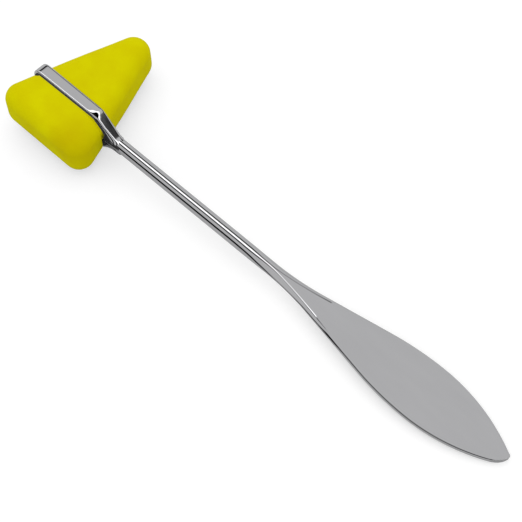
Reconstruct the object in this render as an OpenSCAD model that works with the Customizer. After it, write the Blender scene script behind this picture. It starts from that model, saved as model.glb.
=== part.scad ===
// Reflex hammer of the triangular-head pattern: a solid rubber head squeezed into a
// flat strap loop, the loop's two arms brazed onto a round shank, and the shank
// forged flat into a leaf-shaped blade that ends in a blunt point.
// Frame: origin under the middle of the head, on the loop's resting face.
// +X runs along the shank to the blade's point, +Y to the head's pointed edge, +Z up.

/* [Overall] */
// Length from the loop's far end to the blade's point
overall_l = 192; // [160:1:230]
// Distance from the middle of the head to the loop's far end
loop_reach = 15.7; // [13:0.1:18]

/* [Rubber head] */
// Width across the broad striking edge
head_w = 36.8; // [30:0.1:44]
// Height from the broad edge to the pointed edge
head_h = 48.5; // [40:0.1:58]
// Thickness between the two triangular faces
head_t = 15.4; // [12.4:0.1:18]
// Radius of the pointed corner, seen on the triangular face
tip_r = 5.7; // [5.4:0.1:8]
// Radius of the two broad corners, seen on the triangular face
corner_r = 5.3; // [5.2:0.1:8]
// Radius that rounds the rim over from face to face
rim_r = 5.2; // [3:0.1:5.2]
// Height of the shank's axis above the broad edge
grip_h = 15.5; // [12:0.1:19]

/* [Strap loop] */
// Width of the strap at the loop's far end
strap_w_far = 4.5; // [3.6:0.1:5.4]
// Width of the strap at the neck
strap_w_neck = 3.8; // [3:0.1:4.5]
// Thickness of the strap
strap_t = 1.9; // [1.4:0.1:2.4]
// How deep each arm presses into the rubber's face
pinch = 0.4; // [0.2:0.1:0.8]
// Outer radius of the two bends at the far end
far_bend_r = 3.9; // [2.8:0.1:5]
// Outer radius where an arm bends down to the shank
arm_bend_r = 7; // [5:0.1:10]
// Slope of the arms between the loop and the shank, in degrees
arm_slope = 40; // [30:1:50]
// Radius that blends an arm's back into the shank
neck_blend_r = 12; // [6:0.5:16]

/* [Shank] */
// Diameter of the round shank
shank_d = 4.4; // [3.6:0.1:5.2]
// Length of the shank that stays round, from the neck's end
shank_round_l = 46; // [30:1:60]
// Gap between the shank's inner end and the rubber's flank
shank_gap = 0.3; // [0.1:0.1:1]

/* [Blade] */
// Length of the leaf from its narrow shoulder to the point
blade_l = 89; // [70:1:110]
// Greatest width of the leaf
blade_w = 19.5; // [15:0.1:25]
// Distance from the widest place to the point
belly_l = 30; // [24:0.5:38]
// Thickness of the leaf
blade_t = 2.1; // [1.6:0.1:2.8]
// Width of the blunt end at the point
point_w = 3.2; // [2:0.1:4]
// Slant of the blunt end across the blade, in degrees
point_slant = 32; // [0:1:45]
// Fullness of the long flank: higher is straighter in its middle
flank_fullness = 1.44; // [1.2:0.01:1.7]
// Length over which the round shank is forged down to the leaf's thickness
draw_l = 36; // [24:1:50]

/* [Hidden] */

arc_fn = 48;          // facets round the shank and the dressed ends
arc_steps = 10;       // steps along each bend of the strap
puck_fn = 40;         // facets round each corner puck of the rubber
rim_steps = 7;        // facets round the rubber's rim, face to face, per quarter
ring_steps = 6;       // facets round each quarter of the blade's edge
stations = 44;        // sections along the forged blade
eps = 0.01;           // small overlap where two solids join
beyond = 60;          // further than any edge of the loop, for shapes that only cut

shank_r = shank_d / 2;
loop_in_z = head_t / 2 - pinch;      // inner face of an arm above the shank's axis
loop_half = loop_in_z + strap_t;     // outer face of an arm above the shank's axis
axis_z = loop_half;                  // the loop's underside lies on Z = 0
point_x = overall_l - loop_reach;

// Half width of the rubber's flat outline at a height above the broad edge: the
// straight flank touches the corner circle and the tip circle.
flank_len = norm([head_w / 2 - corner_r, head_h - tip_r - corner_r]);
flank_lean = atan2(head_w / 2 - corner_r, head_h - tip_r - corner_r)
    + asin((corner_r - tip_r) / flank_len);
function flank_x(b) = (head_w / 2 - corner_r) + corner_r / cos(flank_lean)
    - (b - corner_r) * tan(flank_lean);

// Side view of the neck: bend, straight slope, blend, each worked out from the
// drop between the arm's back and the shank's back.
bend_dx = arm_bend_r * sin(arm_slope);
bend_dz = arm_bend_r * (1 - cos(arm_slope));
blend_dx = neck_blend_r * sin(arm_slope);
blend_dz = neck_blend_r * (1 - cos(arm_slope));
slope_dz = loop_half - shank_r - bend_dz - blend_dz;
slope_dx = slope_dz / tan(arm_slope);
flank_clear = 6.3;    // how far the arm's bend starts before the rubber's flank
dress_rise = 1.2;     // how far the dressed ends stand off the blend where it starts
bend_x = flank_x(grip_h) - flank_clear;
neck_x = bend_x + bend_dx + slope_dx + blend_dx;
shank_x0 = flank_x(grip_h - shank_r) + shank_gap;
draw_x = neck_x + shank_round_l;
shoulder_x = point_x - blade_l;
belly_x = point_x - belly_l;

// One corner of the rubber: a round puck with its rim rolled over.
function rim_quarter(r, s) = [for (i = [0 : rim_steps])
    let (a = 90 * i / rim_steps)
    [r - rim_r + rim_r * cos(a), s * (head_t / 2 - rim_r + rim_r * sin(a))]];
function reversed(v) = [for (i = [len(v) - 1 : -1 : 0]) v[i]];

module corner_puck(r) {
    rotate_extrude($fn = puck_fn)
        polygon(concat(reversed(rim_quarter(r, -1)), rim_quarter(r, 1),
            [[0, head_t / 2], [0, -head_t / 2]]));
}

module head_block() {
    hull() {
        for (s = [-1, 1])
            translate([s * (head_w / 2 - corner_r), corner_r, 0]) corner_puck(corner_r);
        translate([0, head_h - tip_r, 0]) corner_puck(tip_r);
    }
}

// Side view of an arm's back, above the shank's axis: bend, straight slope, blend.
function arm_back(r_bend, r_blend) = concat(
    [for (i = [0 : arc_steps]) let (a = arm_slope * i / arc_steps)
        [bend_x + r_bend * sin(a), loop_half - r_bend * (1 - cos(a))]],
    [for (i = [arc_steps : -1 : 0]) let (a = arm_slope * i / arc_steps)
        [neck_x - r_blend * sin(a), shank_r + r_blend * (1 - cos(a))]]);

// The strap's outline: the far bend, the arm's back and the neck, for the upper half.
// The arms' ends reach into the shank, which is then cut out of them.
function far_bend(x, z, r) = [for (i = [0 : arc_steps]) let (a = 90 * i / arc_steps)
    [x + r * (1 - cos(a)), z - r * (1 - sin(a))]];
upper_outline = concat(far_bend(-loop_reach, loop_half, far_bend_r),
    arm_back(arm_bend_r, neck_blend_r), [[neck_x, shank_r / 2]]);

// The space inside the loop: the outline moved in by the strap's thickness, as far as
// the place on the shank's axis where the two inner faces meet.
inner_bend_r = arm_bend_r - strap_t;
inner_end = [bend_x + inner_bend_r * sin(arm_slope),
    loop_in_z - inner_bend_r * (1 - cos(arm_slope))];
upper_window = concat(far_bend(strap_t - loop_reach, loop_in_z, far_bend_r - strap_t),
    [for (i = [0 : arc_steps]) let (a = arm_slope * i / arc_steps)
        [bend_x + inner_bend_r * sin(a), loop_in_z - inner_bend_r * (1 - cos(a))]],
    [[inner_end[0] + inner_end[1] / tan(arm_slope), 0]]);

function below(v) = [for (p = reversed(v)) [p[0], -p[1]]];

module loop_side_view() {
    difference() {
        polygon(concat(upper_outline, below(upper_outline)));
        polygon(concat(upper_window, below(upper_window)));
    }
}

// The strap seen from above: it narrows from the far end to the neck.
module strap_plan() {
    far_x = -loop_reach;
    polygon([[far_x, -strap_w_far / 2], [neck_x, -strap_w_neck / 2],
        [neck_x, strap_w_neck / 2], [far_x, strap_w_far / 2]]);
}

module round_shank(x0, x1) {
    translate([x0, 0, 0]) rotate([0, 90, 0]) cylinder(h = x1 - x0, d = shank_d, $fn = arc_fn);
}

// The arms' ends are dressed down to the shank's round, as turned about its axis.
module dressed_round() {
    rotate([0, 90, 0]) rotate_extrude($fn = arc_fn)
        polygon(concat([[0, neck_x]],
            [for (i = [0 : arc_steps]) let (a = arm_slope * i / arc_steps)
                [shank_r + neck_blend_r * (1 - cos(a)) + dress_rise * i / arc_steps,
                 neck_x - neck_blend_r * sin(a)]],
            [[beyond, neck_x - blend_dx], [beyond, -beyond], [0, -beyond]]));
}

module strap_solid() {
    difference() {
        intersection() {
            rotate([90, 0, 0]) linear_extrude(height = beyond, center = true)
                loop_side_view();
            linear_extrude(height = beyond, center = true) strap_plan();
            dressed_round();
        }
        round_shank(shank_x0, neck_x + eps);
    }
}

// Half width of the leaf at x: a hollow arc, a straight and a full arc of one radius
// up to the widest place, then one arc to the blunt point.
leaf_dx = belly_x - shoulder_x;
leaf_dy = blade_w / 2 - shank_r;
leaf_a = flank_fullness * atan(leaf_dy / leaf_dx);
leaf_r = (leaf_dx * sin(leaf_a) - leaf_dy * cos(leaf_a)) / (1 - cos(leaf_a)) / 2;
end_drop = (blade_w - point_w) / 2;
end_r = (belly_l * belly_l + end_drop * end_drop) / (2 * end_drop);
function leaf_half(x) =
    x <= shoulder_x ? shank_r
    : x < shoulder_x + leaf_r * sin(leaf_a)
        ? shank_r + leaf_r - sqrt(leaf_r * leaf_r - pow(x - shoulder_x, 2))
    : x < belly_x - leaf_r * sin(leaf_a)
        ? shank_r + leaf_r * (1 - cos(leaf_a))
            + (x - shoulder_x - leaf_r * sin(leaf_a)) * tan(leaf_a)
    : x < belly_x
        ? blade_w / 2 - leaf_r + sqrt(leaf_r * leaf_r - pow(belly_x - x, 2))
    : blade_w / 2 - end_r + sqrt(end_r * end_r - pow(x - belly_x, 2));

// Half thickness at x: the round shank drawn down smoothly to the leaf's thickness.
function draw_part(x) = min(1, max(0, (x - draw_x) / draw_l));
function leaf_thick(x) = shank_r + (blade_t / 2 - shank_r) * (1 - cos(180 * draw_part(x))) / 2;
function edge_round(x) = min(leaf_thick(x),
    shank_r + (blade_t / 2 - shank_r) * sin(90 * draw_part(x)));

// One section: a rectangle with round corners, as points round the X axis.
function quarter(cy, cz, r, a0) = [for (i = [0 : ring_steps])
    let (a = a0 + 90 * i / ring_steps) [cy + r * cos(a), cz + r * sin(a)]];
function section(hw, ht, r) = concat(
    quarter(hw - r, ht - r, r, 0), quarter(r - hw, ht - r, r, 90),
    quarter(r - hw, r - ht, r, 180), quarter(hw - r, r - ht, r, 270));

corner_min = 0.04;    // keeps the flats of a round section from closing up
point_round = 0.8;    // rounding of the blunt point's corners
function station_x(i) = draw_x + (point_x - point_round - draw_x) * i / (stations - 1);
function ring_at(x, trim) = let (hw = leaf_half(x) - trim, ht = leaf_thick(x),
        r = min(edge_round(x), hw, ht) - corner_min)
    [for (p = section(hw, ht, r)) [min(x, slant_x(p[0])), p[0], p[1]]];
// The blunt end is ground at a slant, so it leans back from one corner.
function slant_x(y) = point_x - max(0, point_w / 2 - point_round - y) * tan(point_slant);

// The point: the last rings draw in round the blunt end.
point_steps = 4;
blade_rings = concat(
    [for (i = [0 : stations - 1]) ring_at(station_x(i), 0)],
    [for (i = [1 : point_steps]) let (a = 90 * i / point_steps)
        ring_at(point_x - point_round + point_round * sin(a), point_round * (1 - cos(a)))]);

module sweep(rings) {
    n = len(rings[0]);
    m = len(rings);
    polyhedron(
        points = [for (ring = rings) for (p = ring) p],
        faces = concat(
            [[for (j = [0 : n - 1]) j]],
            [for (i = [0 : m - 2]) for (j = [0 : n - 1])
                [i * n + j, (i + 1) * n + j, (i + 1) * n + (j + 1) % n, i * n + (j + 1) % n]],
            [[for (j = [n - 1 : -1 : 0]) (m - 1) * n + j]]),
        convexity = 4);
}

// Solid moulded rubber, pressed in along the strap on both faces and on one flank.
module rubber_head() {
    color("#cfc905")
        translate([0, 0, axis_z])
            difference() {
                translate([0, -grip_h, 0]) head_block();
                strap_solid();
            }
}

// Flat strap bent round the head, with both ends dressed to a feather on the shank.
module loop_strap() {
    color("#c9c8cc")
        translate([0, 0, axis_z]) strap_solid();
}

// Round shank and leaf-shaped blade, forged from one bar.
module handle() {
    color("#adadad")
        translate([0, 0, axis_z]) {
            round_shank(shank_x0, draw_x + eps);
            sweep(blade_rings);
        }
}

rubber_head();
loop_strap();
handle();
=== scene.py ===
# %% [markdown]
# A reflex hammer, rebuilt for looks around its CAD frame. The real one is three pieces:
# a wedge of soft yellow rubber, a flat steel strap bent round it into a loop, and a
# handle forged from one round bar. The loop is brazed to the handle, and both are
# chrome plated together. First we load the CAD model, which fixes every place and size.

# %% Load the frame
import math

import bpy
import numpy as np
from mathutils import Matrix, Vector


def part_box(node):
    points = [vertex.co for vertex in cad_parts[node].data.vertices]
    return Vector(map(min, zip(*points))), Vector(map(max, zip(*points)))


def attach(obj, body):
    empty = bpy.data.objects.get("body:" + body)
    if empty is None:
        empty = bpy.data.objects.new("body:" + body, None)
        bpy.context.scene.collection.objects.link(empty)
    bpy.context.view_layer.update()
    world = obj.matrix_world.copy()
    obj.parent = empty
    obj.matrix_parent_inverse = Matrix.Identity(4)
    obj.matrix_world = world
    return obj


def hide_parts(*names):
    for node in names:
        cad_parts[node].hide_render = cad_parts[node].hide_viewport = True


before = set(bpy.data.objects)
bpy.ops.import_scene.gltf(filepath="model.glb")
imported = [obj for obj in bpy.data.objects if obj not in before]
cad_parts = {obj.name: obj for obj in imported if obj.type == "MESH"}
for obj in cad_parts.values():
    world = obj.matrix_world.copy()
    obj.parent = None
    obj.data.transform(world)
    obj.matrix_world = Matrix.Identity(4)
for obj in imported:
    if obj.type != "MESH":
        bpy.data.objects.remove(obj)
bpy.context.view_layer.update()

MM = 0.001
scene = bpy.context.scene
for node in ("rubber_head", "loop_strap", "handle"):
    low, high = (np.array(corner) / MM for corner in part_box(node))
    print(node, "from", low.round(2), "to", high.round(2), "mm")


# %% [markdown]
# The pieces are drawn in millimetres about the shank's own axis, because a smith works
# from that axis. One value then lifts them to where the CAD has it.

# %% Read the driving sizes from the frame
handle_low, handle_high = (np.array(corner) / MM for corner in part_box("handle"))
loop_low, loop_high = (np.array(corner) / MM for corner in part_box("loop_strap"))
head_low, head_high = (np.array(corner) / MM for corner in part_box("rubber_head"))
axis_z = (handle_low[2] + handle_high[2]) / 2
shank_r = (handle_high[2] - handle_low[2]) / 2
point_x = handle_high[0]
neck_x = loop_high[0]
print(f"shank axis {axis_z:.2f} mm up, radius {shank_r:.2f} mm, point at {point_x:.1f} mm")


# %% [markdown]
# Every metal shape here is a loft: a row of closed rings, each one a section of the
# piece, joined by faces. It gives smooth long forms from a few numbers, which suits
# parts that are drawn out or bent from bar.

# %% Turn points into a mesh
def new_mesh(name, points, faces):
    """A mesh object from points in millimetres about the shank's axis."""
    placed = (np.array(points) + [0, 0, axis_z]) * MM
    mesh = bpy.data.meshes.new(name)
    mesh.from_pydata(placed.tolist(), [], faces)
    mesh.update()
    obj = bpy.data.objects.new(name, mesh)
    scene.collection.objects.link(obj)
    return obj


def loft(rings):
    """Points and quads through closed rings of the same length, capped at both ends."""
    count = len(rings[0])
    points = [p for ring in rings for p in ring]
    faces = [list(range(count))[::-1]]
    for i in range(len(rings) - 1):
        for j in range(count):
            k = (j + 1) % count
            faces.append([i * count + j, i * count + k,
                          (i + 1) * count + k, (i + 1) * count + j])
    faces.append([(len(rings) - 1) * count + j for j in range(count)])
    return points, faces


def shade(obj, sharp_deg):
    """Smooth shading, apart from edges that turn more than that angle."""
    obj.data.polygons.foreach_set("use_smooth", [True] * len(obj.data.polygons))
    obj.data.set_sharp_from_angle(angle=math.radians(sharp_deg))


def smooth_step(x, start, end):
    """0 before start, 1 after end, with a soft rise between them."""
    t = np.clip((x - start) / (end - start), 0, 1)
    return t * t * (3 - 2 * t)


# %% [markdown]
# The camera stands above and to the side of the handle, far enough back that the
# hammer is hardly foreshortened.

# %% Camera
CAMERA_AWAY = 0.37               # metres from what it looks at
aim = Vector((81.2, 0, axis_z)) * MM     # near the hammer's middle
camera_turn, camera_rise = math.radians(-46.8), math.radians(60.4)
toward_camera = Vector((math.cos(camera_rise) * math.cos(camera_turn),
                        math.cos(camera_rise) * math.sin(camera_turn),
                        math.sin(camera_rise)))
camera = bpy.data.objects.new("camera", bpy.data.cameras.new("camera"))
scene.collection.objects.link(camera)
camera.location = aim + toward_camera * CAMERA_AWAY
camera.rotation_euler = toward_camera.to_track_quat("Z", "Y").to_euler()
camera.data.sensor_width = 36
camera.data.lens = 84.35
camera.data.shift_x, camera.data.shift_y = 0.01, -0.01
scene.camera = camera
scene.view_settings.view_transform = "Standard"
print("camera at", [round(v, 3) for v in camera.location])


# %% [markdown]
# Materials are node trees. Two small helpers keep them readable: one adds a node with
# its settings and links, the other turns a paint-chart colour into linear light.

# %% Node and colour helpers
def linear(hex_colour):
    """An sRGB hex colour as linear RGBA."""
    parts = [int(hex_colour[i:i + 2], 16) / 255 for i in (1, 3, 5)]
    return [c / 12.92 if c <= 0.04045 else ((c + 0.055) / 1.055) ** 2.4 for c in parts] + [1]


def add(tree, kind, inputs=None, **settings):
    """Adds a node; each input is a value or another node's output."""
    node = tree.nodes.new("ShaderNode" + kind)
    for key, value in settings.items():
        setattr(node, key, value)
    for key, value in (inputs or {}).items():
        if isinstance(value, bpy.types.NodeSocket):
            tree.links.new(value, node.inputs[key])
        else:
            node.inputs[key].default_value = value
    return node


def new_material(name):
    """A material with its Principled shader, ready for patterns."""
    material = bpy.data.materials.new(name)
    material.use_nodes = True
    return material, material.node_tree, material.node_tree.nodes["Principled BSDF"]


def ramp(tree, value, stops):
    """A colour ramp through (position, colour) stops."""
    node = add(tree, "ValToRGB", {"Fac": value})
    elements = node.color_ramp.elements
    elements[0].position, elements[0].color = stops[0]
    elements[1].position, elements[1].color = stops[-1]
    for position, colour in stops[1:-1]:
        elements.new(position).color = colour
    return node


def grey(level):
    return (level, level, level, 1)


# %% [markdown]
# Polished metal shows nothing but its surroundings, so it is lit in a plain light tent:
# grey cloth all round, one long soft box overhead and a black strip on either side of
# it, which draw lines along the metal. The tent is the same from end to end.

# %% Light tent
# Each stop is degrees round the handle from straight up, toward the head's pointed
# side, and brightness.
SOFT_BOX = 2.2
CLOTH = 0.7
TENT = (
    (-180, CLOTH), (-95, CLOTH), (-90, 0.0), (-65, 0.0), (-60, CLOTH), (-25, CLOTH),
    (-20, 0.0), (-5, 0.0), (0, SOFT_BOX), (15, SOFT_BOX), (20, CLOTH), (25, CLOTH),
    (30, 0.0), (40, 0.0), (50, CLOTH), (180, CLOTH),
)
world = bpy.data.worlds.new("light tent")
scene.world = world
world.use_nodes = True
tree = world.node_tree
direction = add(tree, "SeparateXYZ", {"Vector": add(tree, "TexCoord").outputs["Generated"]})
turn = add(tree, "Math", {0: direction.outputs["Y"], 1: direction.outputs["Z"]},
           operation="ARCTAN2")
share = add(tree, "Math", {0: turn.outputs[0], 1: 1 / math.tau, 2: 0.5},
            operation="MULTIPLY_ADD")
lines = ramp(tree, share.outputs[0],
             [((angle + 180) / 360, grey(level / SOFT_BOX)) for angle, level in TENT])
mirrored = tree.nodes["Background"]
tree.links.new(lines.outputs[0], mirrored.inputs["Color"])
mirrored.inputs["Strength"].default_value = SOFT_BOX
print("tent hung, soft box", SOFT_BOX, "cloth", CLOTH)


# %% [markdown]
# Only the metal is given the tent. The rubber and the table are given a plain soft light
# that is a little stronger from above and behind, and the camera sees white. A real tent
# would light all three alike: splitting the rays is a choice made for the picture.

# %% Soft light for everything that isn't mirror bright
KEY = Vector((-0.35, 0.45, 0.82)).normalized()
SOFT_LOW, SOFT_HIGH = 0.94, 1.09        # brightness away from the key and toward it
facing = add(tree, "VectorMath", {0: tree.nodes["Texture Coordinate"].outputs["Generated"],
                                  1: KEY}, operation="DOT_PRODUCT")
glow = add(tree, "MapRange", {"Value": facing.outputs["Value"], "From Min": 0.0,
                              "From Max": 1.0, "To Min": SOFT_LOW, "To Max": SOFT_HIGH},
           interpolation_type="SMOOTHSTEP")
soft = add(tree, "Background", {"Color": grey(1), "Strength": glow.outputs[0]})
plain = add(tree, "Background", {"Color": grey(1), "Strength": 1.0})
path = add(tree, "LightPath")
lit = add(tree, "MixShader", {0: path.outputs["Is Glossy Ray"], 1: soft.outputs[0],
                              2: mirrored.outputs[0]})
seen = add(tree, "MixShader", {0: path.outputs["Is Camera Ray"], 1: lit.outputs[0],
                               2: plain.outputs[0]})
tree.links.new(seen.outputs[0], tree.nodes["World Output"].inputs["Surface"])
print("key light from", [round(v, 2) for v in KEY])


# %% [markdown]
# The hammer lies as it would on a table: on the underside of its loop and on the tip of
# its blade. The table is a sheet of white acrylic lit from below, which is how a
# photographer keeps a ground white and its shadows faint.

# %% Table
REST_X = 8.95                           # where the loop's underside starts to bend up
LEAF_THICK = 1.05                       # half the leaf's thickness
tip_under = (axis_z - LEAF_THICK) * MM  # underside of the blade at its point
lean = math.atan2(tip_under, (point_x - REST_X) * MM)
TABLE_HALF = 1.5                        # metres, far past the edge of the view
TABLE_GREY, TABLE_GLOW = 0.6, 0.46
table_mesh = bpy.data.meshes.new("table")
table_mesh.from_pydata([(x * TABLE_HALF, y * TABLE_HALF, 0) for x, y in (
    (-1, -1), (1, -1), (1, 1), (-1, 1))], [], [(0, 1, 2, 3)])
table = bpy.data.objects.new("table", table_mesh)
scene.collection.objects.link(table)
table.location = (REST_X * MM, 0, 0)
table.rotation_euler = (0, -lean, 0)
acrylic, tree, shader = new_material("white acrylic sheet, lit from below")
shader.inputs["Roughness"].default_value = 1.0
shader.inputs["Specular IOR Level"].default_value = 0.0
shader.inputs["Emission Color"].default_value = grey(1)
# The sheet is grey, and its glow is set to reach only the camera, where it looks white.
# In the metal the glow would wash out the dark lines.
shader.inputs["Base Color"].default_value = grey(TABLE_GREY)
glow_seen = add(tree, "Math", {0: add(tree, "LightPath").outputs["Is Camera Ray"],
                                1: TABLE_GLOW}, operation="MULTIPLY")
tree.links.new(glow_seen.outputs[0], shader.inputs["Emission Strength"])
table_mesh.materials.append(acrylic)
print(f"table leans {math.degrees(lean):.2f} degrees to meet loop and point")


# %% [markdown]
# Chrome plate over buffed steel: a thin hard skin, a little bluer and darker than
# silver. The buffing wheel leaves the surface very slightly wavy along the bar, which
# makes the reflected lines wander, and leaves hair-fine marks that only soften them.

# %% Chrome plate
HAIR_MM, HAIR_DEPTH = 0.35, 0.0004      # width and depth of a buffing mark, drawn coarse


def chrome_plate(name, wave_mm, wave_height, roughness):
    """Chrome with buffing waves of a size and height in mm, and hair marks."""
    material, tree, shader = new_material(name)
    place = add(tree, "TexCoord").outputs["Object"]
    along = add(tree, "Mapping", {"Vector": place, "Scale": (0.25, 1, 1)})
    waves = add(tree, "TexNoise", {"Vector": along.outputs[0], "Scale": 1 / (wave_mm * MM),
                                   "Detail": 1.0, "Roughness": 0.4})
    hairs = add(tree, "Mapping", {"Vector": place, "Scale": (0.03, 1, 1)})
    marks = add(tree, "TexNoise", {"Vector": hairs.outputs[0], "Scale": 1 / (HAIR_MM * MM),
                                   "Detail": 3.0})
    height = add(tree, "Bump", {"Height": waves.outputs["Fac"],
                                "Distance": wave_height * MM, "Strength": 1.0})
    fine = add(tree, "Bump", {"Height": marks.outputs["Fac"], "Distance": HAIR_DEPTH * MM,
                              "Strength": 1.0, "Normal": height.outputs[0]})
    worn = add(tree, "MapRange", {"Value": marks.outputs["Fac"], "From Min": 0.35,
                                  "From Max": 0.75, "To Min": roughness,
                                  "To Max": roughness * 1.8})
    tone = ramp(tree, waves.outputs["Fac"], [(0.3, linear("#c7c7c9")),
                                            (0.7, linear("#cacacc"))])
    tree.links.new(tone.outputs["Color"], shader.inputs["Base Color"])
    tree.links.new(worn.outputs[0], shader.inputs["Roughness"])
    tree.links.new(fine.outputs[0], shader.inputs["Normal"])
    shader.inputs["Metallic"].default_value = 1.0
    return material


handle_chrome = chrome_plate("chrome plate on forged steel", 4.0, 0.006, 0.02)
strap_chrome = chrome_plate("chrome plate on bent strap", 2.5, 0.008, 0.03)


# %% [markdown]
# The handle starts as a round bar. One end is hammered and ground into a thin leaf, so
# the round section first becomes an oval, and then a flat breaks through its top in a
# pointed arch and widens into the leaf's face. We draw a section at many places along
# the bar and loft through them. Each section is an oval edge cut off by the flat.

# %% Outline of the leaf
BLADE_L, BELLY_L = 89.0, 30.0                          # leaf, and widest place to point
SHOULDER_X, BELLY_X = point_x - BLADE_L, point_x - BELLY_L
LEAF_HALF = handle_high[1]                             # half the greatest width
POINT_HALF = 1.6                                       # half width of the blunt end
FLANK_FULLNESS = 1.44
flank_run, flank_rise = BELLY_X - SHOULDER_X, LEAF_HALF - shank_r
flank_turn = FLANK_FULLNESS * math.atan(flank_rise / flank_run)
flank_r = ((flank_run * math.sin(flank_turn) - flank_rise * math.cos(flank_turn))
           / (1 - math.cos(flank_turn)) / 2)
nose_drop = LEAF_HALF - POINT_HALF
nose_run = point_x - BELLY_X
nose_r = (nose_run ** 2 + nose_drop ** 2) / (2 * nose_drop)


def leaf_half(x):
    """Half width of the bar and leaf at x: hollow arc, straight, full arc, nose arc."""
    arc = flank_r * math.sin(flank_turn)
    if x <= SHOULDER_X:
        return shank_r
    if x < SHOULDER_X + arc:
        return shank_r + flank_r - math.sqrt(flank_r ** 2 - (x - SHOULDER_X) ** 2)
    if x < BELLY_X - arc:
        return (shank_r + flank_r * (1 - math.cos(flank_turn))
                + (x - SHOULDER_X - arc) * math.tan(flank_turn))
    if x < BELLY_X:
        return LEAF_HALF - flank_r + math.sqrt(flank_r ** 2 - (BELLY_X - x) ** 2)
    return LEAF_HALF - nose_r + math.sqrt(nose_r ** 2 - (x - BELLY_X) ** 2)


print(f"leaf {2 * LEAF_HALF:.1f} mm wide, flank radius {flank_r:.0f} mm")

# %% [markdown]
# Grinding leaves a soft edge where the flat meets each flank. Near the root the flank is
# a nearly straight chamfer under a rounded crest; farther out it is an oval edge. The
# section blends from one to the other, so no line has to be drawn by hand.

# %% Sections of the handle
DRAW_X, DRAW_L = 70.2, 36.0      # where the bar starts to thin, and over what length
ARCH_X = 90.5                    # where the flat breaks through the round
CUT_ROOT, CUT_EASED = 0.527, 0.13        # how far the flat cuts down the oval, and easing
EASED_FROM, EASED_TO = 118, 140
EDGE_NARROW, EDGE_EXTRA = 1.2, 0.5       # width of the oval edge out on the leaf
CHAMFER_IN, CHAMFER_OUT = (78, 93), (97, 124)    # where the ground flank comes and goes
SLANT = 0.14                     # how fast the blunt end curves back, per mm
END_ROUND, END_THIN = 0.8, 0.25  # round of the blunt end, and its share of the thickness
THINNEST = 0.5
QUARTER = 14                     # steps round each quarter of an edge
FLAT = 10                        # steps across half the flat


def chamfer(thick):
    """A quarter of the section with a ground flank: side, edge, flank, crest."""
    side, edge_r, crest_r = 0.1, 0.3, 0.8
    out = [(0.0, 0.0), (0.0, side)]

    def turn(r, start, end, steps):
        y0, z0 = out[-1]
        for a in np.radians(np.linspace(start, end, steps + 1)[1:]):
            out.append((y0 + r * (math.sin(math.radians(start)) - math.sin(a)),
                        z0 + r * (math.cos(a) - math.cos(math.radians(start)))))

    used = side + edge_r * 0.766 + crest_r * 0.152
    turn(edge_r, 90, 40, 4)
    turn((thick - used) / 0.082, 40, 32, 3)
    turn(crest_r, 32, 0, 6)
    return out


def section(x, trim=0.0):
    """The bar's section at x, from the +Y edge over the top and round."""
    half = leaf_half(min(x, point_x - END_ROUND)) - trim
    draw = min(1, max(0, (x - DRAW_X) / DRAW_L))
    thick = shank_r + (LEAF_THICK - shank_r) * (1 - math.cos(math.pi * draw)) / 2
    thick = max(thick - END_THIN * trim, THINNEST)
    cut = (CUT_ROOT * float(smooth_step(x, ARCH_X, ARCH_X + 10))
           - CUT_EASED * float(smooth_step(x, EASED_FROM, EASED_TO)))
    narrow = EDGE_NARROW + EDGE_EXTRA * (1 - float(smooth_step(x, 104, EASED_TO)))
    edge = min(half, half + (narrow - half) * float(smooth_step(x, ARCH_X - 2, ARCH_X + 14)))
    tall = thick / math.sqrt(1 - cut ** 2)
    break_turn = math.acos(cut)
    ys, zs = [], []
    for i in range(QUARTER + 1):
        a = break_turn * i / QUARTER
        ys.append(half - edge + edge * math.cos(a))
        zs.append(tall * math.sin(a))
    share = float(smooth_step(x, *CHAMFER_IN)) * (1 - float(smooth_step(x, *CHAMFER_OUT)))
    for i, (inward, z) in enumerate(chamfer(thick)):
        ys[i] += share * (half - inward - ys[i])
        zs[i] += share * (z - zs[i])
    flat_y = ys[-1]
    for i in range(1, FLAT + 1):
        ys.append(flat_y * (1 - i / FLAT))
        zs.append(thick)
    top = list(zip(ys, zs))
    upper = top + [(-y, z) for y, z in top[-2::-1]]
    ring = upper + [(-y, -z) for y, z in upper[1:-1]]
    out = []
    for y, z in ring:
        slant_x = point_x - SLANT * max(0, POINT_HALF - y) ** 2
        out.append((min(x, slant_x), y, z))
    return out


stations = list(np.linspace(handle_low[0], DRAW_X, 40, endpoint=False))
stations += list(np.linspace(DRAW_X, point_x - END_ROUND, 150))
rings = [section(x) for x in stations]
for a in np.linspace(0, math.pi / 2, 7)[1:]:
    rings.append(section(point_x - END_ROUND + END_ROUND * math.sin(a),
                         END_ROUND * (1 - math.cos(a))))
handle = new_mesh("forged_handle", *loft(rings))
shade(handle, 14)
handle.data.materials.append(handle_chrome)
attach(handle, "root")
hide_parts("handle")
print("handle:", len(rings), "sections of", len(rings[0]), "points")


# %% [markdown]
# The loop is one flat strap, bent round the rubber with soft corners. Its two ends are
# bent in to lap the shank from above and below, brazed there, and dressed with a file
# until they run out on the round bar.

# %% Path of the strap
LOOP_HALF = axis_z               # outer face of an arm, from the shank's axis
STRAP_T = 1.9
FAR_X = loop_low[0]
FAR_R = 3.9                      # outer radius of the far bends
ARM_SLOPE = 40                   # slope of an arm where it comes in to the shank
# The upper arm is bent sharply and ends short; the lower one is bent and run out softly.
# Where each starts to bend, its outer radius there and where it meets the shank, how far
# its end is dressed down into the shank, and its crotch.
UPPER_ARM = (12.3, 2.5, 3.0, 0.12, ((13.6, 6.3), (15.2, 4.6), (16.6, 2.4), (17.2, 0.7)))
LOWER_ARM = (8.95, 7.0, 12.0, 0.0, ((12.6, 5.6), (14.2, 3.9), (15.4, 2.2), (16.0, 0.7)))


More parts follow.
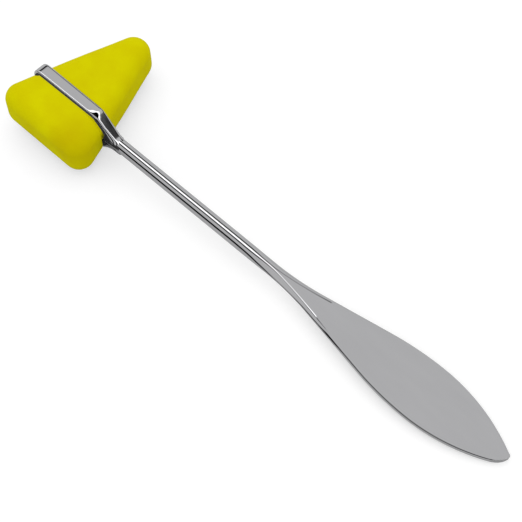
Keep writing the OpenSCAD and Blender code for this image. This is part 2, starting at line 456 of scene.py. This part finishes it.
def arc(cx, cz, r, start, end, steps=16):
    """Points on an arc in the side view, with angles in degrees from +X toward +Z."""
    return [(cx + r * math.cos(math.radians(a)), cz + r * math.sin(math.radians(a)))
            for a in np.linspace(start, end, steps)]


def straight(start, end, steps):
    """Points between two others, without the two."""
    return [tuple(p) for p in np.linspace(start, end, steps)[1:-1]]


def half_path(depth, bend_x, bend_r):
    """One half of the loop at a depth under its outside, from far bend to arm bend."""
    far = arc(FAR_X + FAR_R, LOOP_HALF - FAR_R, FAR_R - depth, 180, 90)
    bend = arc(bend_x, LOOP_HALF - bend_r, bend_r - depth, 90, 90 - ARM_SLOPE)
    return ([(FAR_X + depth, 0)] + straight((FAR_X + depth, 0), far[0], 8) + far
            + straight(far[-1], bend[0], 28) + bend)


def arm_path(bend_x, bend_r, blend_r, sunk, root):
    """The back of one half of the loop to its end on the shank, and its belly."""
    back, belly = half_path(0, bend_x, bend_r), half_path(STRAP_T, bend_x, bend_r)
    slope = math.radians(ARM_SLOPE)
    corner_x = back[-1][0] + (back[-1][1] - shank_r) / math.tan(slope)
    run_out = arc(corner_x + blend_r * math.tan(slope / 2), shank_r - sunk + blend_r,
                  blend_r, 270 - ARM_SLOPE, 270, 20)
    back += straight(back[-1], run_out[0], 20) + run_out
    root_x, root_z = zip(*root)
    belly = [(x, z) if x < root_x[0] else (x, float(np.interp(x, root_x, root_z)))
             for x, z in belly[:-1]]
    first, last = back[len(belly)][0], back[-1][0]
    for x, _ in back[len(belly):]:
        under = belly[-1][0] if x < first else root_x[0] + (
            (x - first) / (last - first) * (root_x[-1] + 2 - root_x[0]))
        belly.append((min(under, x), float(np.interp(min(under, x), root_x, root_z))))
    return back, belly


upper_path, lower_path = arm_path(*UPPER_ARM), arm_path(*LOWER_ARM)
print("strap:", len(upper_path[0]), "stations from the far bend to each end")

# %% [markdown]
# The strap's section is a flat with buffed edges. On the upper arm the edges grow wider
# toward the neck, where a file has dressed them, and a skewed facet lies between the flat
# back and the slope. The facet is a plane that the back is kept under, blended softly.

# %% Sections of the strap
EDGE_R = 0.6                     # edges of the strap, rounded by buffing
HALF_FAR, HALF_NECK = 2.25, 2.0
# The skewed facet: the line where it starts across the arm, how steeply it falls, and how
# soft its edges are.
CREASE = ((10.6, -2.0), (14.1, 1.3))
CREASE_FALL, CREASE_SOFT = 0.50, 0.05
# Where the flat of an arm's back ends: x, its -Y edge and its +Y edge.
NECK_FLAT = ((10.0, -1.6, 1.65), (13.0, -1.4, 1.7), (15.0, -1.0, 1.6), (17.0, -1.1, 1.35),
             (19.0, -0.9, 1.2), (21.0, -0.65, 1.0), (22.8, -0.1, 0.4), (24.2, -0.1, 0.1))
flat_x, flat_low, flat_high = zip(*NECK_FLAT)
crease_run = np.subtract(CREASE[1], CREASE[0])
crease_run /= np.linalg.norm(crease_run)
ARC_STEPS, TOP_STEPS = 9, 12


def crease_drop(x, y, z):
    """How far the skewed facet lies under the arm's back at height z."""
    past = x - CREASE[0][0], y - CREASE[0][1]
    beyond = past[0] * crease_run[1] - past[1] * crease_run[0]
    depth = z - (LOOP_HALF - CREASE_FALL * beyond)
    return CREASE_SOFT * math.log1p(math.exp(max(-40, min(depth / CREASE_SOFT, 40))))


def strap_section(outside, inside, facet):
    """The strap's section from a point on its back to the one under it."""
    x = outside[0]
    half = HALF_FAR + (HALF_NECK - HALF_FAR) * (x - FAR_X) / (neck_x - FAR_X)
    o, i = np.array(outside), np.array(inside)
    thick = np.linalg.norm(i - o)
    neck = float(smooth_step(x, 10.0, 14.5)) if o[1] > 0 else 0.0
    bent = float(smooth_step(x, 8.5, 10.0)) if facet and o[1] > 0 else 0.0
    low = (1 - neck) * (EDGE_R - half) + neck * float(np.interp(x, flat_x, flat_low))
    high = (1 - neck) * (half - EDGE_R) + neck * float(np.interp(x, flat_x, flat_high))
    drop = min(thick * 0.55, EDGE_R + neck * 0.8)
    r = min(EDGE_R, thick * 0.4)
    profile = []                 # (y, depth under the back)
    for a in np.linspace(0, math.pi / 2, ARC_STEPS):
        profile.append((high + (half - high) * math.sin(a), drop * (1 - math.cos(a))))
    for a in np.linspace(0, math.pi / 2, 4):
        profile.append((half - r + r * math.cos(a), thick - r + r * math.sin(a)))
    for a in np.linspace(0, math.pi / 2, 4):
        profile.append((r - half - r * math.sin(a), thick - r + r * math.cos(a)))
    for a in np.linspace(math.pi / 2, 0, ARC_STEPS):
        profile.append((low - (half + low) * math.sin(a), drop * (1 - math.cos(a))))
    profile += [(low + (high - low) * k / TOP_STEPS, 0.0) for k in range(1, TOP_STEPS)]
    ring = []
    for y, depth in profile:
        p = o + (i - o) * (depth / thick)
        fade = max(0.0, 1 - depth / thick)
        ring.append((p[0], y, p[1] - crease_drop(x, y, o[1]) * fade * bent))
    return ring


upper = [strap_section(o, i, True) for o, i in zip(*upper_path)]
lower = [strap_section(o, i, False) for o, i in zip(*lower_path)]
lower = [[(x, y, -z) for x, y, z in ring] for ring in lower[:0:-1]]
strap = new_mesh("bent_strap_loop", *loft(lower + upper))
shade(strap, 40)
strap.data.materials.append(strap_chrome)
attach(strap, "root")
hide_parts("loop_strap")
# For the picture only, the strap casts no shade, so the rubber beside it stays clean.
strap.visible_diffuse = strap.visible_shadow = False
print("strap:", len(lower + upper), "sections of", len(upper[0]), "points")


# %% [markdown]
# The head is a wedge of solid rubber, moulded in one shot: a rounded triangle seen from
# the front, with its rim rolled over from face to face. The loop is closed over it cold,
# so the rubber gives way under the strap and swells a little on either side of it. We
# loft the plain wedge, remesh it evenly, and then press the strap into it.

# %% Outline of the rubber
CORNER_R, TIP_R, RIM_R = 5.3, 5.7, 5.2
FLANK_BULGE = 0.3                # the two long flanks are not quite straight
HEAD_HALF_T = (head_high[2] - head_low[2]) / 2
CORNERS = (
    (head_high[0] - CORNER_R, head_low[1] + CORNER_R, CORNER_R),
    (0.0, head_high[1] - TIP_R, TIP_R),
    (head_low[0] + CORNER_R, head_low[1] + CORNER_R, CORNER_R),
)


def flank_normal(a, b):
    """Direction square to the flank that touches the circles of corners a and b."""
    dx, dy = b[0] - a[0], b[1] - a[1]
    return math.atan2(dy, dx) - math.pi / 2 - math.asin((b[2] - a[2]) / math.hypot(dx, dy))


def outline(inset):
    """The rubber's outline drawn in by an inset, counter-clockwise."""
    normals = [flank_normal(CORNERS[i], CORNERS[(i + 1) % 3]) for i in range(3)]
    points = []
    for i, (cx, cy, r) in enumerate(CORNERS):
        end = normals[i]
        start = normals[i - 1] - (math.tau if normals[i - 1] > end else 0)
        for a in np.linspace(start, end, 22):
            points.append((cx + (r - inset) * math.cos(a), cy + (r - inset) * math.sin(a)))
        nx, ny, nr = CORNERS[(i + 1) % 3]
        way = np.array((math.cos(end), math.sin(end)))
        first, last = np.array(points[-1]), np.array((nx, ny)) + (nr - inset) * way
        bulge = FLANK_BULGE if i < 2 else 0
        for t in np.linspace(0, 1, 42)[1:-1]:
            points.append(tuple(first + (last - first) * t
                                + way * bulge * math.sin(math.pi * t) ** 2))
    return np.array(points)


core = outline(RIM_R)
centre = core.mean(axis=0)
levels = [(centre + (core - centre) * f, HEAD_HALF_T) for f in np.linspace(0.04, 1, 14)[:-1]]
levels += [(outline(RIM_R * (1 - math.sin(a))), HEAD_HALF_T - RIM_R * (1 - math.cos(a)))
           for a in np.linspace(0, math.pi / 2, 14)]
bottom = [[(x, y, -z) for x, y in ring] for ring, z in levels]
top = [[(x, y, z) for x, y in ring] for ring, z in levels[-2::-1]]
rubber = new_mesh("moulded_rubber_wedge", *loft(bottom + top))
print("wedge:", len(bottom + top), "rings of", len(core), "points")

# %% [markdown]
# Pressing needs small even faces, and a loft has long thin ones. A voxel remesh gives
# them, and a few passes of smoothing take out the steps that it leaves.

# %% Even the mesh out
VOXEL = 0.32
remesh = rubber.modifiers.new("even", "REMESH")
remesh.mode, remesh.voxel_size = "VOXEL", VOXEL * MM
soften = rubber.modifiers.new("soften", "SMOOTH")
soften.factor, soften.iterations = 0.5, 6
evened = bpy.data.meshes.new_from_object(
    rubber.evaluated_get(bpy.context.evaluated_depsgraph_get()))
rubber.modifiers.clear()
rubber.data = evened
print("rubber:", len(evened.polygons), "faces of about", VOXEL, "mm")

# %% [markdown]
# Solid rubber held by a strap is drawn down along the strap's inner face. Each vertex
# near it is moved to the nearest place on that path, fading out to the sides. This is
# quicker and steadier than simulating a body as stiff as this one.

# %% Press the strap in
PRESS_HALF = 1.95                # half the width of the groove's floor
GIVE = 0.8                       # how far beside that the rubber is drawn down
SWELL, SWELL_REACH = 0.15, 6.0   # how far it swells beyond that, and over what width
FLOOR = [p for p in half_path(STRAP_T + 0.04, *LOWER_ARM[:2]) if p[0] < 8]
FLOOR += [(8.6, 7.1), (10.2, 6.3), (12.0, 5.0), (13.6, 3.6), (14.7, 2.2), (15.2, 0.8),
          (15.2, 0)]


def nearest_on_path(points, path):
    """For each 2-D point, the closest point of the path."""
    best, found = np.full(len(points), np.inf), points.copy()
    for p, q in zip(path[:-1], path[1:]):
        p, run = np.array(p), np.subtract(q, p)
        t = np.clip((points - p) @ run / max(run @ run, 1e-12), 0, 1)
        near = p + t[:, None] * run
        gap = np.linalg.norm(points - near, axis=1)
        closer = gap < best
        best[closer], found[closer] = gap[closer], near[closer]
    return found


def inside_path(points, path):
    """Whether each 2-D point lies inside the closed path."""
    inside = np.zeros(len(points), bool)
    for (ax, az), (bx, bz) in zip(path, path[1:] + path[:1]):
        crosses = (az > points[:, 1]) != (bz > points[:, 1])
        with np.errstate(divide="ignore", invalid="ignore"):
            at = ax + (points[:, 1] - az) * (bx - ax) / (bz - az)
        inside ^= crosses & (points[:, 0] < at)
    return inside


flat = np.empty(len(evened.vertices) * 3, np.float32)
evened.vertices.foreach_get("co", flat)
place = flat.reshape(-1, 3).astype(float) / MM - [0, 0, axis_z]
beside = np.abs(place[:, 1])
side_view = np.column_stack([place[:, 0], np.abs(place[:, 2])])
pressed = nearest_on_path(side_view, FLOOR)
pressed[inside_path(side_view, FLOOR + [(0.0, 0.0)])] = np.nan
shift = np.nan_to_num(pressed - side_view)
give = 0.5 + 0.5 * np.cos(np.pi * np.clip((beside - PRESS_HALF) / GIVE, 0, 1))
side_view += shift * give[:, None]
swell = SWELL * (smooth_step(beside, PRESS_HALF + 0.4, PRESS_HALF + GIVE)
                 * (1 - smooth_step(beside, PRESS_HALF + GIVE, PRESS_HALF + GIVE + SWELL_REACH)))
on_face = smooth_step(side_view[:, 1], HEAD_HALF_T - 2.5, HEAD_HALF_T - 0.3)
side_view[:, 1] += swell * on_face
place[:, 0] = side_view[:, 0]
place[:, 2] = np.sign(place[:, 2]) * side_view[:, 1]
evened.vertices.foreach_set("co", ((place + [0, 0, axis_z]) * MM).astype(np.float32).ravel())
evened.update()
shade(rubber, 180)
print(f"deepest press {np.linalg.norm(shift, axis=1).max():.2f} mm")


# %% [markdown]
# The rubber is a soft compound coloured right through, moulded in a spark-eroded steel
# mould, so it is matt and even, with a grain too fine to see and faint clouds where the
# colour didn't mix perfectly.

# %% Moulded rubber
CLOUD_MM, GRAIN_MM, GRAIN_DEPTH = 9, 0.35, 0.02
SPILL_GREY, MIRRORED_GREY = 0.45, 0.07  # how the table and the metal see the rubber
rubber_yellow, tree, shader = new_material("moulded yellow rubber")
place = add(tree, "TexCoord").outputs["Object"]
clouds = add(tree, "TexNoise", {"Vector": place, "Scale": 1 / (CLOUD_MM * MM), "Detail": 3.0,
                                "Roughness": 0.6})
tint = ramp(tree, clouds.outputs["Fac"], [(0.30, linear("#cdc200")), (0.52, linear("#d0c800")),
                                         (0.74, linear("#d4cf00"))])
grain = add(tree, "TexNoise", {"Vector": place, "Scale": 1 / (GRAIN_MM * MM),
                                "Detail": 2.0})
relief = add(tree, "Bump", {"Height": grain.outputs["Fac"], "Distance": GRAIN_DEPTH * MM,
                            "Strength": 1.0})
dull = add(tree, "MapRange", {"Value": grain.outputs["Fac"], "To Min": 0.6, "To Max": 0.8})
# Painted shade: the broad corner beside the handle is darkened and browned, where its face turns
# away from the light.
corner = ((head_high[0] - 3.0) * MM, (head_low[1] + 3.0) * MM, head_high[2] * MM)
reach = add(tree, "VectorMath", {0: place, 1: corner}, operation="DISTANCE")
painted_corner_shade = add(tree, "MapRange", {"Value": reach.outputs["Value"], "From Min": 3 * MM,
                              "From Max": 13 * MM, "To Min": 0.42, "To Max": 0.0},
           interpolation_type="SMOOTHSTEP")
tint = add(tree, "MixRGB", {"Fac": painted_corner_shade.outputs[0], "Color1": tint.outputs["Color"],
                            "Color2": linear("#b39c00")})
# For the picture only, the metal and the table are shown the rubber as grey, so that no yellow
# spills onto them. The metal sees it near black: a painted dark reflection that draws dark lines
# on the strap where it meets the rubber.
path = add(tree, "LightPath")
spill = add(tree, "MixRGB", {"Fac": path.outputs["Is Diffuse Ray"],
                             "Color1": tint.outputs[0], "Color2": grey(SPILL_GREY)})
seen = add(tree, "MixRGB", {"Fac": path.outputs["Is Glossy Ray"],
                            "Color1": spill.outputs[0], "Color2": grey(MIRRORED_GREY)})
tree.links.new(seen.outputs[0], shader.inputs["Base Color"])
tree.links.new(relief.outputs[0], shader.inputs["Normal"])
tree.links.new(dull.outputs[0], shader.inputs["Roughness"])
shader.inputs["Specular IOR Level"].default_value = 0.015
rubber.data.materials.clear()
rubber.data.materials.append(rubber_yellow)
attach(rubber, "root")
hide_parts("rubber_head")
print("rubber clouds", CLOUD_MM, "mm, grain", GRAIN_MM, "mm")
